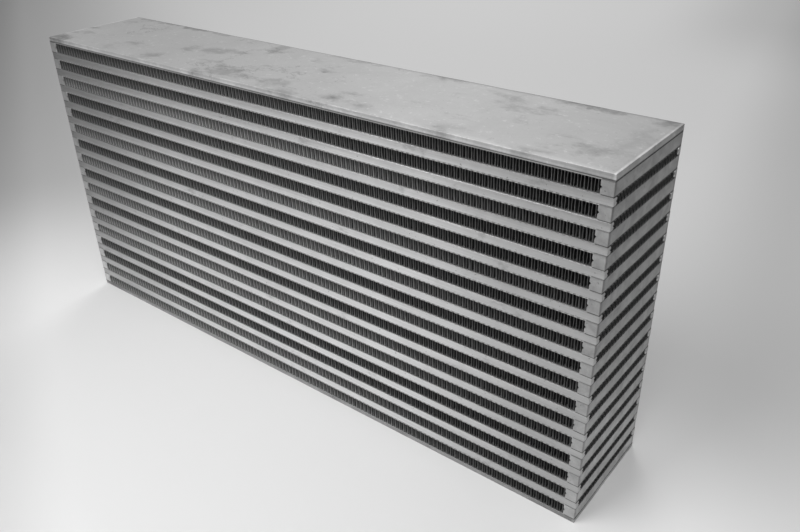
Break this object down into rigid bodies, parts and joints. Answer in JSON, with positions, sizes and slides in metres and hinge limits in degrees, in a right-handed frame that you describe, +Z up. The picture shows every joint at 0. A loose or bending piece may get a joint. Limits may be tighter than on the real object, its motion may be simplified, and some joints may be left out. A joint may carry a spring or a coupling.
{
  "type": "bar and plate intercooler core",
  "caption": "Brazed aluminium bar-and-plate air-to-air intercooler core: stacked cooling and charge layers with folded fins between side plates, ends bare for tanks.",
  "frame": {"origin": "centre of the bottom side plate's underside", "axes": "+Z up through the stack of layers, +X along the core from one tank face to the other, +Y from the front cooling face to the rear one"},
  "size_m": [0.6, 0.105, 0.2828],
  "materials": {
    "side_plates": "satin rolled sheet, mottled by brazing",
    "end_bars": "drawn bar, dull after brazing",
    "long_bars": "drawn bar, dull after brazing",
    "sheets": "clad rolled sheet, matt after brazing",
    "cooling_fins": "thin rolled strip, satin",
    "charge_fins": "thin rolled strip, satin"
  },
  "bodies": {
    "root": {"bottom_side_plate": "side_plates", "charge_fin_01": "charge_fins", "charge_fin_02": "charge_fins", "charge_fin_03": "charge_fins", "charge_fin_04": "charge_fins", "charge_fin_05": "charge_fins", "charge_fin_06": "charge_fins", "charge_fin_07": "charge_fins", "charge_fin_08": "charge_fins", "charge_fin_09": "charge_fins", "charge_fin_10": "charge_fins", "charge_fin_11": "charge_fins", "charge_fin_12": "charge_fins", "charge_fin_13": "charge_fins", "charge_fin_14": "charge_fins", "charge_fin_15": "charge_fins", "charge_fin_16": "charge_fins", "cooling_fin_01": "cooling_fins", "cooling_fin_02": "cooling_fins", "cooling_fin_03": "cooling_fins", "cooling_fin_04": "cooling_fins", "cooling_fin_05": "cooling_fins", "cooling_fin_06": "cooling_fins", "cooling_fin_07": "cooling_fins", "cooling_fin_08": "cooling_fins", "cooling_fin_09": "cooling_fins", "cooling_fin_10": "cooling_fins", "cooling_fin_11": "cooling_fins", "cooling_fin_12": "cooling_fins", "cooling_fin_13": "cooling_fins", "cooling_fin_14": "cooling_fins", "cooling_fin_15": "cooling_fins", "cooling_fin_16": "cooling_fins", "cooling_fin_17": "cooling_fins", "end_bars_left": "end_bars", "end_bars_right": "end_bars", "long_bars_front": "long_bars", "long_bars_rear": "long_bars", "parting_sheets_01": "sheets", "parting_sheets_02": "sheets", "parting_sheets_03": "sheets", "parting_sheets_04": "sheets", "parting_sheets_05": "sheets", "parting_sheets_06": "sheets", "parting_sheets_07": "sheets", "parting_sheets_08": "sheets", "parting_sheets_09": "sheets", "parting_sheets_10": "sheets", "parting_sheets_11": "sheets", "parting_sheets_12": "sheets", "parting_sheets_13": "sheets", "parting_sheets_14": "sheets", "parting_sheets_15": "sheets", "parting_sheets_16": "sheets", "parting_sheets_17": "sheets", "top_side_plate": "side_plates"}
  },
  "joints": []
}
